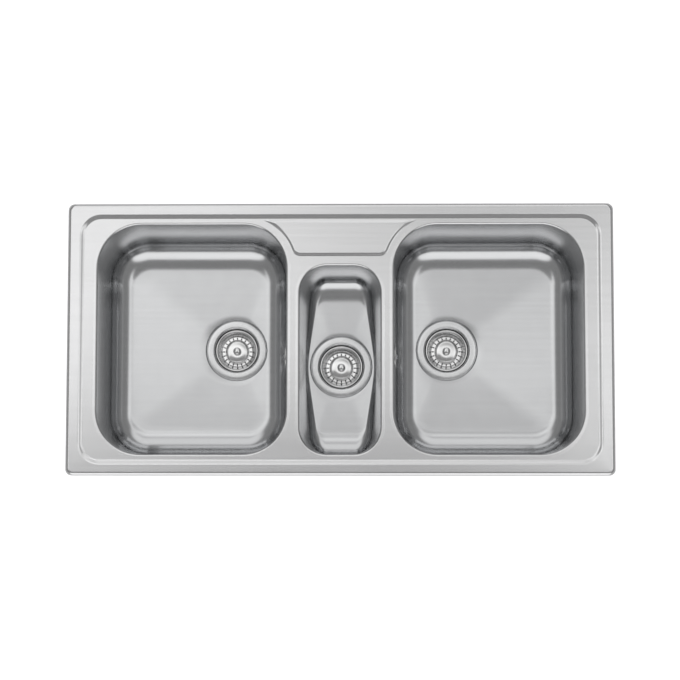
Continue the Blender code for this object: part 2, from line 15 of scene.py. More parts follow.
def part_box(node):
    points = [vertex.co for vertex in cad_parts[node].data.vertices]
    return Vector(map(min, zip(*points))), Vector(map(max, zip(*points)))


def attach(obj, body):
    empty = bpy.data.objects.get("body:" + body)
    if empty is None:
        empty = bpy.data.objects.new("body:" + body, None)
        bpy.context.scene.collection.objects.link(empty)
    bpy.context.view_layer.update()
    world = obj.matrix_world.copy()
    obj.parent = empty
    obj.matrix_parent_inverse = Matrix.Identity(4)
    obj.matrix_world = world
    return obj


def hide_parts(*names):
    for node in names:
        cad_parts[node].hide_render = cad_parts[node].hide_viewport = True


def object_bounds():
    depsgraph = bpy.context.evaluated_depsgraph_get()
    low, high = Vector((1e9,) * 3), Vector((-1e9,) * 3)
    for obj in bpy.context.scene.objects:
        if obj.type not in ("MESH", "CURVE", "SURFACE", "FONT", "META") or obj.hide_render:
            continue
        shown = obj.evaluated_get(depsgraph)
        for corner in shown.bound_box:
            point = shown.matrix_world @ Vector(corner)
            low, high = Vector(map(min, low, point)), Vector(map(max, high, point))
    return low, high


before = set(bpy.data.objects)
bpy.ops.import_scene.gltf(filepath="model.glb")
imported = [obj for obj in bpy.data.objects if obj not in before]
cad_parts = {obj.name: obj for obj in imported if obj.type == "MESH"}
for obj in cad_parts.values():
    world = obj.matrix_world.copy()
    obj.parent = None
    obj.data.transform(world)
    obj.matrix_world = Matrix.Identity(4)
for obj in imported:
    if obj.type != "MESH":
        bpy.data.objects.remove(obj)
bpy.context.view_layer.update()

MM = 0.001
SHEET = 0.8 * MM

# ---------------------------------------------------------------- driving sizes, from the frame

DECK_LOW, DECK_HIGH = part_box("sink_deck")
SINK_HALF = (DECK_HIGH.x, DECK_HIGH.y)
RIM_TOP = DECK_HIGH.z
DECK_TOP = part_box("left_bowl")[1].z
LEDGE_TOP = RIM_TOP - 0.3 * MM
SKIRT_BOTTOM = DECK_LOW.z
RIM_CORNER = 12 * MM
RIM_ROLL = 6.5 * MM
STEP_HALF = (SINK_HALF[0] - 21.8 * MM, SINK_HALF[1] - 19.8 * MM)
STEP_CORNER = 40 * MM
STEP_WIDTH = 9 * MM
LEDGE_FRONT = 152 * MM
LEDGE_ARC = 95.3 * MM
LEDGE_FILLET = 18 * MM
LEDGE_STEP = 6.5 * MM
LEDGE_GROOVE = 1.2 * MM
LIP = 3.5 * MM
FLANGE = 4 * MM
SEAM = 0.05 * MM
WAIST_ROUND = 26 * MM
OVERFLOW_Y = -27 * MM
OVERFLOW_DROP = 60 * MM
ELBOW_OFFSET = 13 * MM
ELBOW_DROP = 42 * MM
HOSE_OVERLAP = 17 * MM
HOSE_BEND = 34 * MM
HOSE_RIB = 4.4 * MM
INLET_DROP = 34 * MM
INLET_REACH = 70 * MM
HOSE_RADIUS = 10.2 * MM
HOSE_RIB_HEIGHT = 0.65 * MM
HOSE_BORE = 8.8 * MM
HOSE_SIDES = 28
FLOOR_FALL = 0.009
BROW = 59.8 * MM
FLAT_MARGIN = 0.4 * MM
CORNER_STEPS = 18
SIDE_STEPS = 16
PRESS_STEPS = 10
GRAIN_TURN = 2 * math.pi * 30 * MM
SMOOTH_ANGLE = 32.0
SIDES = ("left", "centre", "right")
UP = Vector((0, 0, 1))


def waste_centre(side):
    low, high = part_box(f"{side}_waste_gasket")
    return Vector(((low.x + high.x) / 2, (low.y + high.y) / 2, high.z + 4.3 * MM))


def bowl_centre(side):
    low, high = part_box(f"{side}_bowl")
    return ((low.x + high.x) / 2, (low.y + high.y) / 2)


def bowl_half(side):
    low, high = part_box(f"{side}_bowl")
    grown = LIP + FLANGE
    return ((high.x - low.x) / 2 - grown, (high.y - low.y) / 2 - grown)


LARGE = {
    "corner": 80 * MM,
    "floor_half": (127 * MM, 154 * MM),
    "floor_corner": 34 * MM,
    "taper": 0.0,
    "wall_share": (0.15, 0.15),
    "knee": 0.785,
}
SMALL = {
    "corner": 50 * MM,
    "floor_half": (62 * MM, 123 * MM),
    "floor_corner": 16 * MM,
    "taper": 2.96,
    "wall_share": (0.66, 0.15),
    "knee": 0.86,
}

# ---------------------------------------------------------------- outlines


def arc(centre, radius, start, end, steps):
    """Points on an arc, both ends included, with angles in degrees."""
    angles = [math.radians(start + (end - start) * i / steps) for i in range(steps + 1)]
    return [(centre[0] + radius * math.cos(a), centre[1] + radius * math.sin(a)) for a in angles]


def rounded_rectangle(half, radius):
    """Counter-clockwise outline round the origin, with evenly spaced points on its four sides."""
    inner = (half[0] - radius, half[1] - radius)
    signs = ((1, 1), (-1, 1), (-1, -1), (1, -1))
    points = []
    for turn, (sx, sy) in enumerate(signs):
        points += arc((sx * inner[0], sy * inner[1]), radius, 90 * turn, 90 * turn + 90, CORNER_STEPS)
        following = math.radians(90 * turn + 90)
        next_sign = signs[(turn + 1) % 4]
        begin = Vector(points[-1])
        end = Vector((
            next_sign[0] * inner[0] + radius * math.cos(following),
            next_sign[1] * inner[1] + radius * math.sin(following),
        ))
        for i in range(1, SIDE_STEPS):
            points.append(tuple(begin.lerp(end, i / SIDE_STEPS)))
    return points


def circle(radius, centre, count):
    turns = [2 * math.pi * i / count for i in range(count)]
    return [(centre[0] + radius * math.cos(a), centre[1] + radius * math.sin(a)) for a in turns]


def at_height(outline, z):
    return [(x, y, z) for x, y in outline]


def smooth(value):
    clamped = min(1.0, max(0.0, value))
    return clamped * clamped * (3 - 2 * clamped)


def ledge_outline(grow):
    """The tap ledge: a straight front, and arcs round the large bowls' back corners."""
    centre_x = abs(bowl_centre("left")[0])
    corner_x = centre_x - bowl_half("left")[0] + LARGE["corner"]
    corner_y = bowl_half("left")[1] - LARGE["corner"]
    side = LEDGE_ARC - grow
    small = LEDGE_FILLET + grow
    fillet_y = LEDGE_FRONT - grow + small
    rise = (fillet_y - corner_y) / (side + small)
    fillet_x = corner_x - (side + small) * math.sqrt(1 - rise * rise)
    angle = math.degrees(math.asin(rise))
    back = STEP_HALF[1] - STEP_WIDTH - LEDGE_GROOVE + grow
    last = math.degrees(math.asin((back - corner_y) / side))
    right = [(fillet_x * i / 12, fillet_y - small) for i in range(1, 12)]
    right += arc((fillet_x, fillet_y), small, -90, -angle, 8)[:-1]
    right += arc((corner_x, corner_y), side, 180 - angle, 180 - last, 24)
    back_x = right[-1][0]
    right += [(back_x * (1 - i / 12), back) for i in range(1, 12)]
    left = [(-x, y) for x, y in reversed(right)]
    return [(0.0, fillet_y - small)] + right + [(0.0, back)] + left


# ---------------------------------------------------------------- meshes


def add_ring(build, points):
    return [build.verts.new(point) for point in points]


def join_rings(build, first, second, uv, around, depths):
    """Quads between two rings; their grain coordinates run round the ring and down the profile."""
    count = len(first)
    for i in range(count):
        j = (i + 1) % count
        face = build.faces.new((first[i], first[j], second[j], second[i]))
        near, far = around[i], around[i + 1]
        corners = ((near, depths[0]), (far, depths[0]), (far, depths[1]), (near, depths[1]))
        for loop, place in zip(face.loops, corners):
            loop[uv].uv = place


def loft(build, uv, rings):
    """Walls through the rings in turn; gives back the first ring and the last one."""
    made = [add_ring(build, ring) for ring in rings]
    first = rings[0]
    around = [0.0]
    for i, point in enumerate(first):
        step = (Vector(first[(i + 1) % len(first)]) - Vector(point)).length
        around.append(around[-1] + step)
    depth = 0.0
    for k in range(len(rings) - 1):
        drops = [(Vector(a) - Vector(b)).length for a, b in zip(rings[k], rings[k + 1])]
        travelled = sum(drops) / len(drops)
        join_rings(build, made[k], made[k + 1], uv, around, (depth, depth + travelled))
        depth += travelled
    return made[0], made[-1]


def fill_between(build, uv, rings):
    """Flat faces inside the first ring and outside the others; their grain runs along X."""
    edges = []
    for ring in rings:
        for i, vert in enumerate(ring):
            following = ring[(i + 1) % len(ring)]
            edges.append(build.edges.get((vert, following)) or build.edges.new((vert, following)))
    made = bmesh.ops.triangle_fill(build, use_beauty=True, edges=edges)
    for face in made["geom"]:
        if isinstance(face, bmesh.types.BMFace):
            for loop in face.loops:
                loop[uv].uv = (loop.vert.co.x, loop.vert.co.y)


def new_build():
    build = bmesh.new()
    return build, build.loops.layers.uv.new("grain")


def to_mesh(name, build):
    mesh = bpy.data.meshes.new(name)
    build.to_mesh(mesh)
    build.free()
    return mesh


def finish_skin(name, build):
    """An open skin whose highest face looks up, smooth all over, with its open edges sharp."""
    bmesh.ops.recalc_face_normals(build, faces=build.faces)
    highest = max(build.faces, key=lambda face: face.calc_center_median().dot(UP))
    if highest.normal.dot(UP) < 0:
        bmesh.ops.reverse_faces(build, faces=build.faces)
    mesh = to_mesh(name, build)
    mesh.shade_smooth()
    uses = [0] * len(mesh.edges)
    for polygon in mesh.polygons:
        for loop in polygon.loop_indices:
            uses[mesh.loops[loop].edge_index] += 1
    for edge, count in zip(mesh.edges, uses):
        edge.use_edge_sharp = count == 1
    return mesh


def show(name, mesh, material, body, slot, *nodes, matrix=None):
    """Puts a piece in the scene in place of its CAD nodes."""
    piece = bpy.data.objects.new(name, mesh)
    bpy.context.scene.collection.objects.link(piece)
    if matrix is not None:
        piece.matrix_world = matrix
    if not mesh.materials:
        mesh.materials.append(material)
    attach(piece, body)
    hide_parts(*nodes)
    return piece


def thicken(piece):
    solidify = piece.modifiers.new("sheet", "SOLIDIFY")
    solidify.thickness = SHEET
    solidify.offset = -1.0
    return piece


# ---------------------------------------------------------------- the deck


def s_profile(width, high, low):
    """(inset, height) down a pressed step that starts and ends level."""
    shares = [i / PRESS_STEPS for i in range(PRESS_STEPS + 1)]
    return [(width * i / PRESS_STEPS, high + (low - high) * smooth(s)) for i, s in enumerate(shares)]


def inset_ring(inset, corner, z):
    half = (SINK_HALF[0] - inset, SINK_HALF[1] - inset)
    return at_height(rounded_rectangle(half, max(corner - inset, 1.5 * MM)), z)


def step_ring(inset, z):
    half = (STEP_HALF[0] - inset, STEP_HALF[1] - inset)
    return at_height(rounded_rectangle(half, STEP_CORNER - inset), z)


def weld_seam(side, sign=1):
    """The line where a bowl's flange meets the deck."""
    shape = bowl_shape(side)
    outline = bowl_outline(side, bowl_half(side), shape["corner"], LIP + FLANGE + sign * SEAM / 2)
    return at_height(outline, DECK_TOP)


def make_deck():
    build, uv = new_build()
    rings = [inset_ring(0.0, RIM_CORNER, z) for z in (SKIRT_BOTTOM, SKIRT_BOTTOM + 0.6 * MM)]
    for i in range(1, 15):
        angle = math.pi / 2 * i / 14
        inset = RIM_ROLL * (1 - math.cos(angle))
        z = RIM_TOP - (RIM_TOP - SKIRT_BOTTOM - 0.6 * MM) * (1 - math.sin(angle))
        rings.append(inset_ring(inset, RIM_CORNER + 3 * MM, z))
    rings.append(inset_ring(RIM_ROLL + 0.5 * MM, RIM_CORNER + 3 * MM, RIM_TOP))
    rings += [step_ring(-3 * MM, RIM_TOP), step_ring(-1 * MM, RIM_TOP)]
    rings += [step_ring(inset, z) for inset, z in s_profile(STEP_WIDTH, RIM_TOP, DECK_TOP)]
    rings.append(step_ring(STEP_WIDTH + FLAT_MARGIN, DECK_TOP))
    step_foot = loft(build, uv, rings)[1]
    ledge = [at_height(ledge_outline(FLAT_MARGIN), DECK_TOP)]
    for inset, z in s_profile(LEDGE_STEP, DECK_TOP, LEDGE_TOP):
        ledge.append(at_height(ledge_outline(-inset), z))
    ledge.append(at_height(ledge_outline(-LEDGE_STEP - FLAT_MARGIN), LEDGE_TOP))
    foot, brow = loft(build, uv, ledge)
    fill_between(build, uv, [brow])
    holes = [add_ring(build, weld_seam(side)) for side in SIDES]
    fill_between(build, uv, [step_foot, foot] + holes)
    mesh = finish_skin("deck_skin", build)
    return thicken(show("deck_skin", mesh, STEEL, "sink", "brushed_stainless", "sink_deck"))


# ---------------------------------------------------------------- the bowls


def bowl_shape(side):
    return SMALL if side == "centre" else LARGE


def bowl_outline(side, half, corner, grow=0.0, taper=0.0):
    """A bowl's outline, grown on every side, and narrowed by taper for each metre away from its drain."""
    centre = bowl_centre(side)
    drain_y = waste_centre(side).y - centre[1]
    points = []
    for x, y in rounded_rectangle((half[0] + grow, half[1] + grow), corner + grow):
        narrow = 1 - taper * (math.hypot(y - drain_y, WAIST_ROUND) - WAIST_ROUND)
        points.append((centre[0] + x * narrow, centre[1] + y))
    return points


def wall_ring(shape, side, share, z):
    """A ring of a bowl's wall, where share runs from 0 at the rim to 1 at the floor's edge."""
    rim = bowl_half(side)
    half = [rim[i] + (shape["floor_half"][i] - rim[i]) * share[i] for i in (0, 1)]
    mean = (share[0] + share[1]) / 2
    corner = shape["corner"] + (shape["floor_corner"] - shape["corner"]) * mean
    return at_height(bowl_outline(side, half, corner, 0.0, shape["taper"] * mean), z)


def fall_to_drain(first, last, share):
    """A ring of the floor between its edge and the drain."""
    return [tuple(Vector(a).lerp(Vector(b), share)) for a, b in zip(first, last)]


def clear_of_drain(ring, centre, reach):
    """The ring with the points that are nearer to the drain than reach pushed out to it."""
    points = []
    for x, y, z in ring:
        away = Vector((x - centre.x, y - centre.y))
        if away.length < reach:
            away = away.normalized() * reach
        points.append((centre.x + away.x, centre.y + away.y, z))
    return points


def matched_circle(ring, centre, radius, z):
    """A circle whose points lie in the same directions as the ring's points."""
    points = []
    for x, y, _ in ring:
        angle = math.atan2(y - centre.y, x - centre.x)
        points.append((centre.x + radius * math.cos(angle), centre.y + radius * math.sin(angle), z))
    return points


def make_bowl(side):
    shape = bowl_shape(side)
    half, corner = bowl_half(side), shape["corner"]
    waste = waste_centre(side)
    floor = waste.z
    rings = [weld_seam(side, -1)]
    rings.append(at_height(bowl_outline(side, half, corner, LIP + 0.5 * MM), DECK_TOP))
    for i in range(11):
        angle = math.pi / 2 * i / 10
        z = DECK_TOP - LIP * (1 - math.cos(angle))
        rings.append(at_height(bowl_outline(side, half, corner, LIP * (1 - math.sin(angle))), z))
    knee = (floor - DECK_TOP) * shape["knee"]
    for i in range(1, 9):
        share = [s * i / 8 for s in shape["wall_share"]]
        rings.append(wall_ring(shape, side, share, DECK_TOP - LIP + (knee + LIP) * i / 8))
    edge = wall_ring(shape, side, (1, 1), floor)
    rises = [FLOOR_FALL * max(0.0, math.hypot(x - waste.x, y - waste.y) - BROW) for x, y, _ in edge]
    for i in range(1, 21):
        angle = math.pi / 2 * i / 20
        share = [s + (1 - s) * (1 - math.cos(angle)) for s in shape["wall_share"]]
        ring = wall_ring(shape, side, share, DECK_TOP + knee)
        fall = math.sin(angle)
        ring = clear_of_drain(ring, waste, BROW + 0.5 * MM + 0.8 * MM * (20 - i))
        rings.append([(x, y, z + (floor + rise - z) * fall) for (x, y, z), rise in zip(ring, rises)])
    floor_edge = rings[-1]
    brow = matched_circle(floor_edge, waste, BROW, floor)
    for i in range(1, 10):
        rings.append(fall_to_drain(floor_edge, brow, i / 10))
    for radius, drop in RECESS:
        rings.append(matched_circle(floor_edge, waste, radius * MM, floor - drop * MM))
    build, uv = new_build()
    loft(build, uv, rings)
    name = f"{side}_bowl_skin"
    mesh = finish_skin(name, build)
    return thicken(show(name, mesh, BOWL_STEEL, "sink", "brushed_stainless", f"{side}_bowl"))


RECESS = (
    (59.8, 0.0), (59.4, 0.05), (59.0, 0.3), (58.6, 0.9), (58.4, 1.8), (58.2, 2.6), (57.6, 3.1), (56.8, 3.2),
    (50.0, 3.2), (45.0, 3.2),
)

# ---------------------------------------------------------------- finishes


class Finish:
    """A Principled material, with short ways to add the nodes that feed it."""

    def __init__(self, name, colour, roughness, metallic=1.0, **sockets):
        self.material = bpy.data.materials.new(name)
        self.material.use_nodes = True
        self.tree = self.material.node_tree
        self.shader = self.tree.nodes["Principled BSDF"]
        self.shader.inputs["Base Color"].default_value = (*colour, 1.0)
        self.shader.inputs["Roughness"].default_value = roughness
        self.shader.inputs["Metallic"].default_value = metallic
        for socket, value in sockets.items():
            self.shader.inputs[socket.replace("_", " ")].default_value = value
        self.material.diffuse_color = (*colour, 1.0)
        self.place = self.node("ShaderNodeTexCoord").outputs["Object"]

    def node(self, kind, **settings):
        made = self.tree.nodes.new(kind)
        for name, value in settings.items():
            setattr(made, name, value)
        return made

    def feed(self, node, **sockets):
        """Links or sets sockets by name, or by number as i0, i1 and so on."""
        for name, value in sockets.items():
            numbered = name[0] == "i" and name[1:].isdigit()
            socket = node.inputs[int(name[1:]) if numbered else name]
            if isinstance(value, bpy.types.NodeSocket):
                self.tree.links.new(value, socket)
            else:
                socket.default_value = value
        return node

    def math(self, operation, first, second=0.0):
        made = self.node("ShaderNodeMath", operation=operation)
        return self.feed(made, i0=first, i1=second).outputs[0]

    def stretched(self, scale):
        made = self.node("ShaderNodeMapping", vector_type="POINT")
        return self.feed(made, Vector=self.place, Scale=scale).outputs[0]

    def noise(self, scale, detail=3.0, roughness=0.6):
        made = self.node("ShaderNodeTexNoise")
        self.feed(made, Vector=self.stretched(scale), Scale=1.0, Detail=detail, Roughness=roughness)
        return made.outputs["Fac"]

    def blend(self, share, first, second):
        made = self.node("ShaderNodeMix", data_type="FLOAT")
        return self.feed(made, i0=share, i2=first, i3=second).outputs[0]

    def to_range(self, value, low, high, start=0.3, stop=0.7):
        made = self.node("ShaderNodeMapRange")
        self.feed(made, Value=value)
        made.inputs["From Min"].default_value = start
        made.inputs["From Max"].default_value = stop
        made.inputs["To Min"].default_value = low
        made.inputs["To Max"].default_value = high
        return made.outputs[0]

    def mixed(self, share, first, second):
        made = self.node("ShaderNodeMix", data_type="RGBA")
        return self.feed(made, i0=share, i6=first, i7=second).outputs[2]

    def toned(self, share, colour, darkest):
        """From the colour times darkest, where share is 0, to the colour itself."""
        return self.mixed(share, (*(c * darkest for c in colour), 1.0), (*colour, 1.0))

    def bump(self, value, depth):
        made = self.node("ShaderNodeBump")
        self.feed(made, Height=value, Strength=1.0, Distance=depth)
        self.feed(self.shader, Normal=made.outputs[0])


# How much of its colour a material keeps in its darkest streaks, smudges or dirt
STREAK_TONE = 0.91
SMUDGE_TONE = 0.94
DIRT_TONE = 0.82


def steel(name, colour, flat_rough, wall_rough, aniso, rim=None):
    """Brushed steel: grain along X on what lies flat, and round the walls of what stands.

    With rim, a colour and a roughness range, it turns into that finish at the deck's height.
    """
    finish = Finish(name, colour, flat_rough[0], Anisotropic=aniso, Anisotropic_Rotation=0.25)
    tangent = finish.node("ShaderNodeTangent", direction_type="UV_MAP", uv_map="grain")
    finish.feed(finish.shader, Tangent=tangent.outputs[0])
    split = finish.node("ShaderNodeSeparateXYZ")
    finish.feed(split, Vector=finish.node("ShaderNodeNewGeometry").outputs["Normal"])
    level = finish.to_range(finish.math("ABSOLUTE", split.outputs[2]), 0.0, 1.0)
    grain = finish.blend(level, finish.noise((6, 6, 420), 2.0), finish.noise((9, 2600, 900), 3.0))
    streak = finish.blend(level, finish.noise((3, 3, 110), 2.0), finish.noise((2.5, 120, 60), 2.0))
    cloud = finish.noise((7, 7, 7), 2.0)
    smudge = finish.noise((45, 30, 30), 4.0)
    fine = finish.math("ADD", grain, streak)
    broad = finish.math("ADD", cloud, smudge)
    marks = finish.math("MULTIPLY", finish.math("ADD", fine, broad), 0.25)
    rough = finish.blend(level, finish.to_range(marks, *wall_rough), finish.to_range(marks, *flat_rough))
    worn = finish.to_range(finish.math("MULTIPLY", fine, 0.5), 0.0, 1.0)
    tone = finish.toned(worn, colour, STREAK_TONE)
    if rim is not None:
        rim_colour, rim_rough = rim
        height = finish.node("ShaderNodeSeparateXYZ")
        finish.feed(height, Vector=finish.place)
        share = finish.to_range(height.outputs[2], 0.0, 1.0, DECK_TOP - LIP, DECK_TOP - 0.2 * MM)
        tone = finish.mixed(share, tone, finish.toned(worn, rim_colour, STREAK_TONE))
        rough = finish.blend(share, rough, finish.to_range(marks, *rim_rough))
    finish.feed(finish.shader, Roughness=rough, **{"Base Color": tone})
    finish.bump(finish.blend(level, 0.5, grain), 0.0003 * MM)
    return finish.material


def polished(name, colour, rough):
    """Turned and polished steel, with fine lathe marks round its axis and faint smudges."""
    finish = Finish(name, colour, rough[0])
    split = finish.node("ShaderNodeSeparateXYZ")
    finish.feed(split, Vector=finish.place)
    across = finish.math("POWER", split.outputs[0], 2.0)
    along = finish.math("POWER", split.outputs[1], 2.0)
    reach = finish.math("SQRT", finish.math("ADD", across, along))
    marks = finish.node("ShaderNodeTexNoise", noise_dimensions="1D")
    finish.feed(marks, W=finish.math("MULTIPLY", reach, 2600.0), Scale=1.0, Detail=2.0)
    smudge = finish.noise((90, 90, 90), 3.0)
    lathe = finish.math("MULTIPLY", marks.outputs["Fac"], 0.4)
    both = finish.math("ADD", lathe, finish.math("MULTIPLY", smudge, 0.6))
    tone = finish.toned(finish.to_range(smudge, 0.0, 1.0), colour, SMUDGE_TONE)
    finish.feed(finish.shader, Roughness=finish.to_range(both, *rough), **{"Base Color": tone})
    finish.bump(marks.outputs["Fac"], 0.002 * MM)
    return finish.material


def moulded(name, colour, rough, grain, depth):
    """Rubber, foam or plastic: a fine moulded grain, with slight dirt and wear in its colour."""
    finish = Finish(name, colour, rough[0], 0.0)
    skin = finish.noise((grain, grain, grain), 4.0)
    patch = finish.noise((18, 18, 18), 3.0)
    tone = finish.toned(finish.to_range(patch, 0.0, 1.0), colour, DIRT_TONE)
    finish.feed(finish.shader, Roughness=finish.to_range(skin, *rough), **{"Base Color": tone})
    finish.bump(skin, depth)
    return finish.material


BLACK_RUBBER = moulded("black_rubber", (0.025, 0.025, 0.027), (0.55, 0.8), 1600, 0.03 * MM)
WHITE_PLASTIC = moulded("white_plastic", (0.78, 0.78, 0.76), (0.32, 0.5), 900, 0.02 * MM)
HOSE_PLASTIC = moulded("hose_plastic", (0.52, 0.53, 0.55), (0.38, 0.55), 700, 0.02 * MM)
ZINC = polished("zinc_plate", (0.70, 0.715, 0.74), (0.26, 0.42))
FOAM = moulded("grey_foam", (0.16, 0.165, 0.17), (0.85, 1.0), 1400, 0.12 * MM)
DECK_TONE = (0.795, 0.795, 0.80)
DECK_ROUGH = (0.13, 0.19)
STEEL = steel("brushed_steel", DECK_TONE, DECK_ROUGH, (0.12, 0.18), 0.5)
BOWL_STEEL = steel(
    "satin_bowl_steel", (0.66, 0.665, 0.673), (0.14, 0.20), (0.13, 0.20), 0.5, rim=(DECK_TONE, DECK_ROUGH)
)

POLISHED = polished("polished_steel", (0.80, 0.80, 0.80), (0.07, 0.13))
SATIN = polished("satin_steel", (0.78, 0.785, 0.79), (0.16, 0.24))

# ---------------------------------------------------------------- wastes


def turned_mesh(name, profile, steps):
    """A closed shell turned about Z from (radius, height) points in mm, listed round its section."""
    build, uv = new_build()
    points = [(r * MM, z * MM) for r, z in profile]
    rings, depth = [], 0.0
    for r, z in points:
        if r < 1e-6:
            rings.append([build.verts.new((0, 0, z))])
        else:
            rings.append(add_ring(build, at_height(circle(r, (0, 0), steps), z)))
    pairs = list(zip(rings, rings[1:] + rings[:1]))
    lengths = [math.dist(points[i], points[(i + 1) % len(points)]) for i in range(len(points))]
    around = [GRAIN_TURN * i / steps for i in range(steps + 1)]
    for (first, second), length in zip(pairs, lengths):
        if len(first) == 1 and len(second) == 1:
            continue
        if len(first) == 1 or len(second) == 1:
            tip, ring = (first[0], second) if len(first) == 1 else (second[0], first)
            for i in range(steps):
                face = build.faces.new((ring[i], ring[(i + 1) % steps], tip))
                for loop in face.loops:
                    loop[uv].uv = (around[i], depth)
        else:
            join_rings(build, first, second, uv, around, (depth, depth + length))
        depth += length
    return finish_solid(name, build)


def rod_mesh(name, radius, start, end, steps=32):
    return turned_mesh(name, ((0.0, start), (radius, start), (radius, end), (0.0, end)), steps)


def mark_edges(build, angle):
    """Edges that turn by less than the angle, in degrees, are smooth, and the others sharp."""
    for edge in build.edges:
        edge.smooth = len(edge.link_faces) == 2 and edge.calc_face_angle(0.0) < math.radians(angle)


def finish_solid(name, build, angle=SMOOTH_ANGLE):
    """A closed mesh facing out, smooth except along its real edges."""
    bmesh.ops.recalc_face_normals(build, faces=build.faces)
    if build.calc_volume(signed=True) < 0:
        bmesh.ops.reverse_faces(build, faces=build.faces)
    mark_edges(build, angle)
    mesh = to_mesh(name, build)
    for polygon in mesh.polygons:
        polygon.use_smooth = True
    return mesh


def rounded(points, radii, steps=5):
    """A closed section with its corners rounded by the radii given, in order."""
    made = []
    count = len(points)
    for i, (point, radius) in enumerate(zip(points, radii)):
        if radius <= 0:
            made.append(point)
            continue
        here = Vector(point)
        before = Vector(points[i - 1]) - here
        after = Vector(points[(i + 1) % count]) - here
        reach = min(radius, 0.48 * before.length, 0.48 * after.length)
        first = here + before.normalized() * reach
        last = here + after.normalized() * reach
        for k in range(steps + 1):
            t = k / steps
            spot = first * (1 - t) ** 2 + here * 2 * t * (1 - t) + last * t ** 2
            made.append((spot.x, spot.y))
    return made


def apply_modifiers(obj):
    """The object's mesh with its modifiers in it, and the object gone."""
    graph = bpy.context.evaluated_depsgraph_get()
    mesh = bpy.data.meshes.new_from_object(obj.evaluated_get(graph))
    bpy.data.objects.remove(obj)
    return mesh


def cut(name, mesh, cutters, operation="DIFFERENCE"):
    """The mesh with the cutter meshes taken from it, or joined to it."""
    obj = bpy.data.objects.new(name, mesh)
    bpy.context.scene.collection.objects.link(obj)
    tools = []
    for i, cutter in enumerate(cutters):
        tool = bpy.data.objects.new(f"{name}_tool_{i}", cutter)
        bpy.context.scene.collection.objects.link(tool)
        tools.append(tool)
        modifier = obj.modifiers.new(f"cut_{i}", "BOOLEAN")
        modifier.operation = operation
        modifier.solver = "EXACT"
        modifier.object = tool
    bpy.context.view_layer.update()
    made = apply_modifiers(obj)
    for tool in tools:
        bpy.data.objects.remove(tool)
    smooth_by_angle(made)
    return made


def smooth_by_angle(mesh, angle=SMOOTH_ANGLE):
    build = bmesh.new()
    build.from_mesh(mesh)
    mark_edges(build, angle)
    for face in build.faces:
        face.smooth = True
    build.to_mesh(mesh)
    build.free()


def slot_cutters(count, ring, half_length, half_width, low, high, steps=6):
    """Radial slots with round ends, as one mesh of separate prisms."""
    build = bmesh.new()
    for i in range(count):
        turn = Matrix.Rotation(2 * math.pi * i / count, 4, "Z")
        outline = arc((half_length - half_width, 0), half_width, -90, 90, steps)
        outline += arc((half_width - half_length, 0), half_width, 90, 270, steps)
        rings = []
        for z in (low, high):
            spots = [turn @ Vector((ring + x, y, 0)) + Vector((0, 0, z)) for x, y in outline]
            rings.append([build.verts.new(spot) for spot in spots])
        for k in range(len(outline)):
            j = (k + 1) % len(outline)
            build.faces.new((rings[0][k], rings[0][j], rings[1][j], rings[1][k]))
        build.faces.new(rings[0][::-1])
        build.faces.new(rings[1])
    bmesh.ops.recalc_face_normals(build, faces=build.faces)
    return to_mesh("slots", build)


def wall_cutters(count, rows, radius):
    """Small round pins through the basket's sloping wall, as one mesh."""
    build = bmesh.new()
    for row, (ring, height) in enumerate(rows):
        for i in range(count):
            angle = 2 * math.pi * (i + 0.5 * (row % 2)) / count
            tilt = Matrix.Rotation(angle, 4, "Z") @ Matrix.Rotation(math.radians(67), 4, "Y")
            where = Matrix.Translation((ring * math.cos(angle), ring * math.sin(angle), height))
            bmesh.ops.create_cone(
                build, cap_ends=True, segments=8, radius1=radius, radius2=radius, depth=6 * MM,
                matrix=where @ tilt,
            )
    return to_mesh("pins", build)


def basket_mesh():
    """The strainer: rolled rim, sloping wall with rows of holes, slotted floor, and a polished dome."""
    outside = (
        (0.0, -19.6), (10.0, -19.6), (17.5, -19.66), (18.9, -19.85), (20.6, -20.8), (21.6, -22.4),
        (22.4, -24.2), (23.2, -24.75), (24.4, -24.8), (28.2, -24.8), (29.4, -23.6), (35.6, -9.6),
        (36.4, -7.4), (37.4, -6.5), (38.8, -6.25), (39.7, -6.6), (39.5, -7.3),
    )
    inside = (
        (38.4, -7.6), (37.4, -8.4), (30.6, -23.6), (29.0, -26.0), (22.4, -26.0), (21.4, -23.6),
        (19.4, -21.8), (10.0, -21.0), (5.0, -21.0), (5.0, -37.5), (8.0, -37.5), (8.0, -39.5),
        (5.0, -39.5), (5.0, -43.7), (8.0, -43.7), (8.0, -45.0), (0.0, -45.0),
    )
    shell = turned_mesh("basket", outside + inside, steps=120)
    slots = slot_cutters(20, 25.8 * MM, 2.2 * MM, 1.05 * MM, -30 * MM, -22 * MM)
    rows = ((30.2, -21.8), (31.4, -18.9), (32.6, -16.0), (33.8, -13.1))
    pins = wall_cutters(40, [(ring * MM, height * MM) for ring, height in rows], 0.95 * MM)
    return cut("basket", shell, [slots, pins])


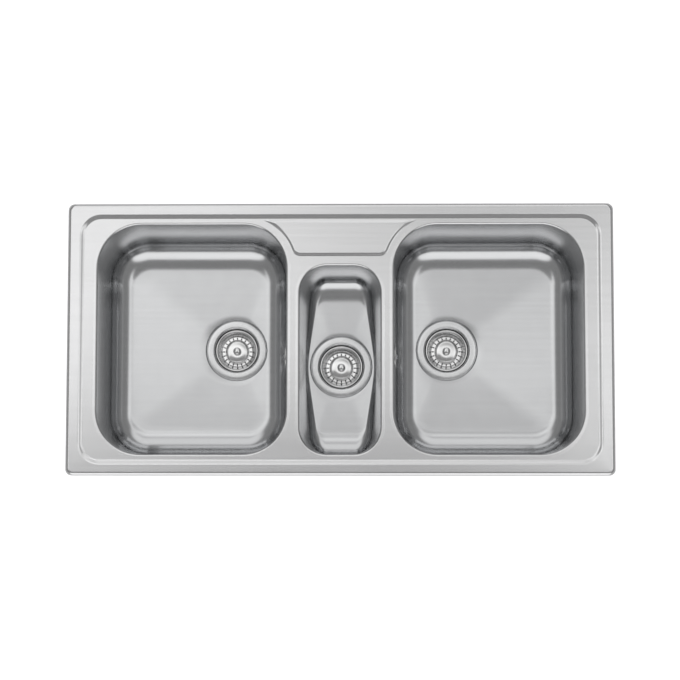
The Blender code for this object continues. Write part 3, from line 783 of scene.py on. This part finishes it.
def cup_mesh():
    """The waste's flange in the recess, its sloping throat, and the cup with the seat of the plug seal."""
    section = (
        (56.3, -2.9), (56.3, -2.0), (56.0, -1.5), (55.5, -1.2), (54.9, -1.1), (50.0, -1.1), (46.0, -1.1),
        (45.0, -1.12), (44.3, -1.3), (43.4, -1.8), (42.5, -2.7), (41.9, -3.6), (41.4, -5.6),
        (41.4, -41.0), (40.6, -43.8), (38.4, -45.6), (36.0, -45.8), (19.8, -45.8), (19.3, -46.4),
        (19.3, -52.0), (3.2, -52.0), (3.2, -53.2), (20.5, -53.2), (20.5, -47.0), (39.0, -47.0),
        (41.8, -44.6), (42.6, -42.0), (42.6, -2.9),
    )
    shell = turned_mesh("cup", section, steps=120)
    holes = slot_cutters(6, 11.8 * MM, 4.31 * MM, 4.3 * MM, -60 * MM, -50 * MM, 10)
    return cut("cup", shell, [holes])


def knob_mesh():
    """The lift knob: a domed top with a rounded brow over a waisted neck."""
    section = (
        (0.0, -10.65), (2.0, -10.7), (4.0, -11.0), (5.6, -11.6), (6.8, -12.5), (7.4, -13.6), (7.45, -14.4),
        (7.0, -15.4), (5.8, -16.4), (4.5, -17.3), (3.9, -18.2), (3.8, -19.7), (0.0, -19.7),
    )
    return turned_mesh("knob", section, steps=64)


def seal_mesh():
    """The plug seal: a rubber skirt with ribs round it."""
    section = [(5.3, -39.8), (14.0, -39.8), (16.0, -40.3)]
    for k in range(4):
        for out, down in ((0.0, 0.0), (1.2, -0.1), (1.8, 0.7)):
            section.append((16.5 + k * 3.0 + out, -40.5 - k * 0.85 - down))
    section += [(28.5, -44.0), (28.5, -45.2), (27.6, -45.4), (14.0, -43.4), (5.3, -43.4)]
    return turned_mesh("seal", section, steps=72)


def make_wastes():
    """One set of meshes, shown at all three drains."""
    pieces = (
        ("waste_cup", "waste_cup", cup_mesh(), SATIN, "polished_stainless"),
        ("basket", "basket", basket_mesh(), POLISHED, "polished_stainless"),
        ("knob", "basket_knob", knob_mesh(), POLISHED, "polished_stainless"),
        ("seal", "plug_seal", seal_mesh(), BLACK_RUBBER, "black_rubber"),
    )
    for _, _, mesh, material, _ in pieces:
        mesh.materials.clear()
        mesh.materials.append(material)
    for side in SIDES:
        place = Matrix.Translation(waste_centre(side))
        for stem, node, mesh, material, slot in pieces:
            body = "sink" if node == "waste_cup" else f"{side}_basket_set"
            show(f"{side}_{stem}_piece", mesh, material, body, slot, f"{side}_{node}", matrix=place)


# ---------------------------------------------------------------- below the deck


def block_mesh(size, centre, turn):
    """A box, turned round Z after it is placed."""
    build = bmesh.new()
    place = Matrix.Rotation(turn, 4, "Z") @ Matrix.Translation(centre) @ Matrix.Diagonal((*size, 1.0))
    bmesh.ops.create_cube(build, size=1.0, matrix=place)
    return to_mesh("block", build)


def blocks(size, centre, turns):
    """Equal boxes round Z, with their size and place in millimetres and their turns in degrees."""
    size, centre = ([value * MM for value in values] for values in (size, centre))
    return [block_mesh(size, centre, math.radians(turn)) for turn in turns]


def merged(meshes):
    build = bmesh.new()
    for mesh in meshes:
        build.from_mesh(mesh)
    return to_mesh("merged", build)


def thread(radius, depth, pitch, start, end):
    """(radius, height) points down a screw thread, drawn as close rings."""
    count = int(abs(end - start) / pitch)
    step = (end - start) / count
    return [
        (radius - depth * drop, start + step * (k + part))
        for k in range(count)
        for part, drop in ((0.0, 1.0), (0.35, 0.0), (0.6, 0.0), (0.9, 1.0))
    ]


def housing_mesh(inlet_angle):
    """The plastic housing under a bowl: ribbed collar, threaded outlet, and the overflow's inlet."""
    outer = rounded(
        ((54.0, -7.6), (54.0, -10.6), (46.8, -12.4), (46.4, -52.0), (43.0, -60.0), (24.0, -67.0),
         (23.0, -78.0)),
        (0.8, 1.2, 1.5, 4.0, 5.0, 4.0, 0.0),
    )
    inner = [(20.0, -104.0), (20.0, -65.4), (40.8, -57.6), (44.2, -51.0), (44.2, -7.6)]
    section = outer + thread(24.0, 1.1, 2.8, -79.0, -102.5) + [(22.9, -104.0)] + inner
    body = turned_mesh("housing", section, steps=96)
    ribs = blocks((4.6, 2.0, 5.5), (48.6, 0, -12.6), range(0, 360, 30))
    feet = blocks((19, 2.4, 9.5), (12, 0, -71), (30, 150, 270))
    boss_section = ((0.0, -53.5), (6.0, -53.5), (6.0, -75.6), (5.6, -76.0), (0.0, -76.0))
    boss = turned_mesh("boss", boss_section, steps=32)
    body = cut("housing", body, [merged(ribs), boss, *feet], "UNION")
    tools = [rod_mesh("hole", 3.2, -50.0, -80.0, steps=24)]
    if inlet_angle is not None:
        facing = Matrix.Translation((0, 0, -INLET_DROP)) @ Matrix.Rotation(inlet_angle, 4, "Z")
        facing = facing @ Matrix.Rotation(math.radians(90), 4, "Y")
        root = [(0.0, 45.0), (10.5, 45.0), (10.5, 48.6), (9.6, 49.4)]
        spigot = turned_mesh("spigot", root + barbs(52.0, 70.0), steps=40)
        spigot.transform(facing)
        body = cut("housing", body, [spigot], "UNION")
        bore = rod_mesh("bore", 6.0, 40.0, 75.0)
        bore.transform(facing)
        tools.append(bore)
    return cut("housing", body, tools)


def barbs(start, end):
    """(radius, reach) points of a hose spigot that ends flat."""
    length = (end - start) / 3
    points = [(7.4, start)]
    for k in range(3):
        points += [(8.0, start + length * k + 0.8), (7.4, start + length * (k + 1) - 0.4)]
    return points + [(7.2, end), (0.0, end)]


def overflow_matrix(side):
    """The frame of an overflow on its bowl's wall: Z into the bowl, Y up the wall."""
    sign = -1 if side == "left" else 1
    half, floor_half = bowl_half(side), LARGE["floor_half"]
    fall = LARGE["wall_share"][0] * (half[0] - floor_half[0])
    run = (DECK_TOP - waste_centre(side).z) * LARGE["knee"] - LIP
    lean = math.atan2(fall, run)
    wall_x = abs(bowl_centre(side)[0]) - half[0] + fall * (OVERFLOW_DROP - LIP) / run
    upright = Matrix.Rotation(math.radians(90) - lean, 4, "X")
    turn = Matrix.Rotation(sign * math.radians(90), 4, "Z") @ upright
    return Matrix.Translation((sign * wall_x, OVERFLOW_Y, DECK_TOP - OVERFLOW_DROP)) @ turn


def rosette_mesh():
    """The overflow's cover: a shallow dome with eight slots round its screw."""
    section = rounded(
        ((2.6, 0.3), (23.0, 0.3), (23.0, 1.1), (17.0, 2.3), (6.5, 2.4), (5.0, 1.7), (2.6, 1.6)),
        (0.0, 0.2, 0.7, 2.0, 0.6, 0.6, 0.0),
    )
    plate = turned_mesh("rosette", section, steps=96)
    return cut("rosette", plate, [slot_cutters(8, 12.0 * MM, 4.0 * MM, 1.9 * MM, -3 * MM, 6 * MM)])


def overflow_screw_mesh():
    section = [(0.0, 4.6), (2.0, 4.5), (3.4, 4.1), (4.2, 3.4), (4.4, 2.7), (2.1, 2.7)]
    section += thread(2.1, 0.3, 0.8, 0.0, -15.0) + [(1.6, -16.0), (0.0, -16.0)]
    head = turned_mesh("overflow_screw", section, steps=32)
    return cut("overflow_screw", head, blocks((5.4, 0.9, 1.6), (0, 0, 4.6), (0, 90)))


def elbow_mesh():
    """The overflow's housing behind the wall: a drum with a rolled collar and a spigot that points down."""
    section = rounded(
        ((22.0, -3.4), (22.0, -5.4), (19.2, -5.6), (19.2, -21.7), (2.6, -21.7), (2.6, -8.0), (5.0, -8.0),
         (5.0, -19.7), (17.2, -19.7), (17.2, -3.4)),
        (0.4, 0.6, 0.6, 3.0, 0.0, 0.3, 0.3, 0.6, 1.0, 0.0),
    )
    drum = turned_mesh("elbow", section, steps=72)
    down = Matrix.Translation((0, 0, -ELBOW_OFFSET)) @ Matrix.Rotation(math.radians(90), 4, "X")
    root = [(0.0, 16.0), (10.0, 16.0), (10.0, 20.5), (9.0, 21.5)]
    spigot = turned_mesh("elbow_spigot", root + barbs(24.0, 42.0), steps=40)
    spigot.transform(down)
    bore = rod_mesh("elbow_bore", 6.0, 12.0, 47.0)
    bore.transform(down)
    return cut("elbow", cut("elbow", drum, [spigot], "UNION"), [bore])


def shrunk(ring, radius):
    """The ring's points at this distance from its middle."""
    middle = sum((Vector(point) for point in ring), Vector()) / len(ring)
    return [tuple(middle + (Vector(point) - middle).normalized() * radius) for point in ring]


def hose_mesh(side):
    """The ribbed overflow hose: down from the elbow's spigot, round a bend, and onto the housing's inlet."""
    frame_here = overflow_matrix(side)
    drain = waste_centre(side)
    start = frame_here @ Vector((0, HOSE_OVERLAP - ELBOW_DROP, -ELBOW_OFFSET))
    top = frame_here @ Vector((0, -ELBOW_DROP - 4 * MM, -ELBOW_OFFSET))
    inwards = Vector((drain.x - top.x, drain.y - top.y, 0.0)).normalized()
    low = drain.z - INLET_DROP
    corner = Vector((top.x, top.y, low + HOSE_BEND))
    bend = corner + inwards * HOSE_BEND
    route = [start, top]
    for i in range(25):
        angle = math.pi / 2 * i / 24
        down = Vector((0, 0, HOSE_BEND * math.sin(angle)))
        route.append(bend - inwards * HOSE_BEND * math.cos(angle) - down)
    route.append(Vector((drain.x, drain.y, low)) - inwards * (INLET_REACH - HOSE_OVERLAP))
    lengths = [0.0]
    for first, second in zip(route, route[1:]):
        lengths.append(lengths[-1] + (second - first).length)
    count = int(lengths[-1] / (0.55 * MM))
    build, uv = new_build()
    rings = []
    for k in range(count + 1):
        reach = lengths[-1] * k / count
        i = min(len(route) - 2, max(j for j in range(len(route)) if lengths[j] <= reach + 1e-9))
        share = (reach - lengths[i]) / (lengths[i + 1] - lengths[i])
        centre = route[i].lerp(route[i + 1], share)
        direction = (route[i + 1] - route[i]).normalized()
        across = direction.cross(Vector((0.0, 1.0, 0.0))).normalized()
        other = direction.cross(across)
        from_end = min(reach, lengths[-1] - reach)
        ribbed = smooth((from_end - 13 * MM) / (3 * MM))
        wave = 0.5 + 0.5 * math.cos(2 * math.pi * reach / HOSE_RIB)
        radius = HOSE_RADIUS + (HOSE_RIB_HEIGHT * wave ** 0.7) * ribbed
        spots = circle(radius, (0, 0), HOSE_SIDES)
        rings.append([tuple(centre + across * a + other * b) for a, b in spots])
    outer_start, outer_end = loft(build, uv, rings)
    bore_rings = [rings[-1]] + rings[-4:3:-6] + [rings[0]]
    inner = [add_ring(build, shrunk(ring, HOSE_BORE)) for ring in bore_rings]
    around = [i / HOSE_SIDES for i in range(HOSE_SIDES + 1)]
    join_rings(build, outer_end, inner[0], uv, around, (0, 0.1))
    join_rings(build, inner[-1], outer_start, uv, around, (0, 0.1))
    for first, second in zip(inner, inner[1:]):
        join_rings(build, first, second, uv, around, (0, 0.1))
    return finish_solid(f"{side}_hose", build, 60)


def softened(node, material, body, slot, width):
    """A copy of a CAD node with its edges rounded over."""
    build = bmesh.new()
    build.from_mesh(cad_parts[node].data)
    bmesh.ops.remove_doubles(build, verts=build.verts, dist=1e-6)
    bmesh.ops.dissolve_limit(build, angle_limit=math.radians(1.0), verts=build.verts, edges=build.edges)
    limit = math.radians(35)
    paired = [edge for edge in build.edges if len(edge.link_faces) == 2]
    sharp = [edge for edge in paired if edge.calc_face_angle(0) > limit]
    bmesh.ops.bevel(
        build, geom=sharp, offset=width, offset_type="OFFSET", segments=3, profile=0.5, affect="EDGES",
        clamp_overlap=True,
    )
    mesh = to_mesh(f"{node}_piece", build)
    smooth_by_angle(mesh, 40)
    return show(f"{node}_piece", mesh, material, body, slot, node)


def clip_screw_mesh():
    section = [(0.0, 2.2), (1.4, 2.2), (2.1, 1.4)] + thread(2.5, 0.35, 1.0, 1.0, -33.0)
    section += [(2.2, -34.3), (5.0, -34.3), (5.0, -36.6), (4.4, -37.6), (3.0, -38.0), (0.0, -38.0)]
    screw = turned_mesh("clip_screw", section, steps=32)
    return cut("clip_screw", screw, blocks((6.2, 1.1, 3.2), (0, 0, -38.0), (0, 90)))


def washer_mesh(name, outer, inner, high, low, corner, steps):
    section = ((outer, high), (outer, low), (inner, low), (inner, high))
    return turned_mesh(name, rounded(section, (corner,) * 4), steps)


def clamp_screw_mesh(name):
    """The screw that pulls a waste's cup and housing together."""
    section = [(0.0, -48.6), (3.0, -48.7), (4.6, -49.4), (5.6, -51.0), (5.6, -51.7), (2.9, -51.7)]
    section += thread(2.9, 0.4, 1.2, -52.5, -73.0) + [(2.2, -74.0), (0.0, -74.0)]
    return cut(name, turned_mesh(name, section, steps=32), blocks((9, 1.2, 2.6), (0, 0, -48.6), (0,)))


def show_all(side, place, pieces):
    """Shows (name, mesh, material, slot, node) pieces that ride on the sink, at one side's place."""
    for name, mesh, material, slot, node in pieces:
        show(f"{side}_{name}", mesh, material, "sink", slot, f"{side}_{node}", matrix=place)


def make_below():
    for side in SIDES:
        inlet = None
        if side != "centre":
            away = overflow_matrix(side) @ Vector((0, 0, -ELBOW_OFFSET)) - waste_centre(side)
            inlet = math.atan2(away.y, away.x)
        housing = housing_mesh(inlet)
        housing.materials.clear()
        gasket = washer_mesh(f"{side}_gasket", 55.0, 46.0, -4.3, -7.3, 0.8, 96)
        screw = clamp_screw_mesh(f"{side}_screw")
        show_all(side, Matrix.Translation(waste_centre(side)), (
            ("housing", housing, WHITE_PLASTIC, "white_plastic", "waste_body"),
            ("gasket_piece", gasket, BLACK_RUBBER, "black_rubber", "waste_gasket"),
            ("screw_piece", screw, ZINC, "zinc_plated_steel", "waste_screw"),
        ))
    for side in ("left", "right"):
        ring = washer_mesh(f"{side}_overflow_ring", 22.5, 17.6, -1.1, -3.1, 0.5, 72)
        show_all(side, overflow_matrix(side), (
            ("overflow_plate", rosette_mesh(), POLISHED, "polished_stainless", "overflow_rosette"),
            ("overflow_bolt", overflow_screw_mesh(), ZINC, "zinc_plated_steel", "overflow_screw"),
            ("overflow_drum", elbow_mesh(), WHITE_PLASTIC, "white_plastic", "overflow_elbow"),
            ("overflow_ring", ring, BLACK_RUBBER, "black_rubber", "overflow_gasket"),
        ))
        show_all(side, None, (
            ("overflow_pipe", hose_mesh(side), HOSE_PLASTIC, "grey_hose", "overflow_hose"),
        ))
    softened("rim_seal", FOAM, "sink", "grey_foam", 0.6 * MM)
    screw = clip_screw_mesh()
    for side, count in (("front", 3), ("back", 3), ("left", 1), ("right", 1)):
        softened(f"{side}_clip_rail", ZINC, "sink", "zinc_plated_steel", 0.3 * MM)
        for i in range(1, count + 1):
            clip, bolt = f"{side}_clip_{i}", f"{side}_clip_screw_{i}"
            softened(clip, ZINC, f"{clip}_body", "zinc_plated_steel", 0.3 * MM)
            low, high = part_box(bolt)
            place = Matrix.Translation(((low.x + high.x) / 2, (low.y + high.y) / 2, high.z - 2.2 * MM))
            show(f"{bolt}_piece", screw, ZINC, f"{bolt}_body", "zinc_plated_steel", bolt, matrix=place)


# ---------------------------------------------------------------- surroundings


def sky_lobe(tree, direction, near, far, level):
    """Light from round a direction: full within near degrees of it, and none beyond far."""
    towards = tree.nodes.new("ShaderNodeTexCoord").outputs["Generated"]
    dot = tree.nodes.new("ShaderNodeVectorMath")
    dot.operation = "DOT_PRODUCT"
    tree.links.new(towards, dot.inputs[0])
    dot.inputs[1].default_value = Vector(direction).normalized()
    fade = tree.nodes.new("ShaderNodeMapRange")
    fade.interpolation_type = "SMOOTHERSTEP"
    tree.links.new(dot.outputs["Value"], fade.inputs["Value"])
    fade.inputs["From Min"].default_value = math.cos(math.radians(far))
    fade.inputs["From Max"].default_value = math.cos(math.radians(near))
    fade.inputs["To Min"].default_value = 0.0
    fade.inputs["To Max"].default_value = level
    return fade.outputs[0]


def slant(x_degrees, y_degrees):
    """A direction that leans from straight up by these angles toward +X and +Y."""
    return Vector((math.tan(math.radians(x_degrees)), math.tan(math.radians(y_degrees)), 1.0))


def make_sky():
    world = bpy.data.worlds.new("studio")
    world.use_nodes = True
    bpy.context.scene.world = world
    tree = world.node_tree
    background = tree.nodes["Background"]
    total = None
    for direction, near, far, level in SKY:
        lobe = sky_lobe(tree, direction, near, far, level)
        if total is None:
            total = lobe
            continue
        add = tree.nodes.new("ShaderNodeMath")
        add.operation = "ADD"
        tree.links.new(total, add.inputs[0])
        tree.links.new(lobe, add.inputs[1])
        total = add.outputs[0]
    for operation, bound in (("MAXIMUM", SKY_LEAST), ("MINIMUM", SKY_MOST)):
        held = tree.nodes.new("ShaderNodeMath")
        held.operation = operation
        held.inputs[1].default_value = bound
        tree.links.new(total, held.inputs[0])
        total = held.outputs[0]
    tree.links.new(total, background.inputs["Strength"])
    background.inputs["Color"].default_value = (1.0, 1.0, 1.0, 1.0)
    pale = tree.nodes.new("ShaderNodeBackground")
    pale.inputs["Color"].default_value = (1.0, 1.0, 1.0, 1.0)
    mix = tree.nodes.new("ShaderNodeMixShader")
    tree.links.new(tree.nodes.new("ShaderNodeLightPath").outputs["Is Camera Ray"], mix.inputs[0])
    tree.links.new(background.outputs[0], mix.inputs[1])
    tree.links.new(pale.outputs[0], mix.inputs[2])
    tree.links.new(mix.outputs[0], tree.nodes["World Output"].inputs["Surface"])


# The lights' sum is held between these levels
SKY_LEAST = 0.28
SKY_MOST = 1.2
# Each light: its direction, the degrees round it that are full, the degrees where it ends, its level
SKY = (
    ((0, 0, 1), 12, 33, 1.13),
    (slant(0, 40), 14, 31, 0.95),
    (slant(-2, -14), 17.5, 19.9, -1.15),
    (slant(-3, 9), 0, 8, 0.10),
    (slant(5, 15), 2, 11, -0.36),
    (slant(0, 22), 8, 15, -0.45),
    ((0, -1, 0.445), 20, 43, 1.85),
    ((1, 0.1, 0.35), 6, 26, 0.40),
    ((-1, 0.1, 0.35), 6, 26, 0.40),
)


FLOOR_HALF = 6.0


def make_floor():
    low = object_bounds()[0][2] - 1 * MM
    mesh = bpy.data.meshes.new("studio_floor")
    corners = [(x * FLOOR_HALF, y * FLOOR_HALF, low) for x, y in ((-1, -1), (1, -1), (1, 1), (-1, 1))]
    mesh.from_pydata(corners, [], [(0, 1, 2, 3)])
    floor = bpy.data.objects.new("studio_floor", mesh)
    bpy.context.scene.collection.objects.link(floor)
    paper = Finish("studio_paper", (0.9, 0.9, 0.9), 0.9, 0.0)
    tone = paper.mixed(paper.noise((3, 3, 3), 2.0), (0.89, 0.89, 0.89, 1.0), (0.91, 0.91, 0.91, 1.0))
    paper.shader.inputs["Emission Color"].default_value = (1, 1, 1, 1)
    seen = paper.node("ShaderNodeLightPath").outputs["Is Camera Ray"]
    glow = paper.blend(seen, 0.12, 0.75)
    paper.feed(paper.shader, **{"Base Color": tone, "Emission Strength": glow})
    mesh.materials.append(paper.material)


def make_camera():
    camera = bpy.data.objects.new("photo_camera", bpy.data.cameras.new("photo_camera"))
    bpy.context.scene.collection.objects.link(camera)
    tilt = Matrix.Rotation(math.radians(CAMERA_TILT), 4, "X")
    lean = Matrix.Rotation(math.radians(CAMERA_LEAN), 4, "Y")
    camera.matrix_world = Matrix.Translation(CAMERA_PLACE) @ (tilt @ lean)
    camera.data.lens = CAMERA_LENS
    camera.data.sensor_width = 36
    camera.data.shift_y = CAMERA_SHIFT
    camera.data.clip_end = 50
    bpy.context.scene.camera = camera
    bpy.context.scene.view_settings.view_transform = "Standard"


CAMERA_PLACE = (0.0593, -0.4358, 3.4617)
CAMERA_TILT = 4.695
CAMERA_LEAN = 0.975
CAMERA_LENS = 101.02
CAMERA_SHIFT = 0.12

# ---------------------------------------------------------------- the object

make_deck()
for side in SIDES:
    make_bowl(side)
make_wastes()
make_below()

make_floor()
make_sky()
make_camera()
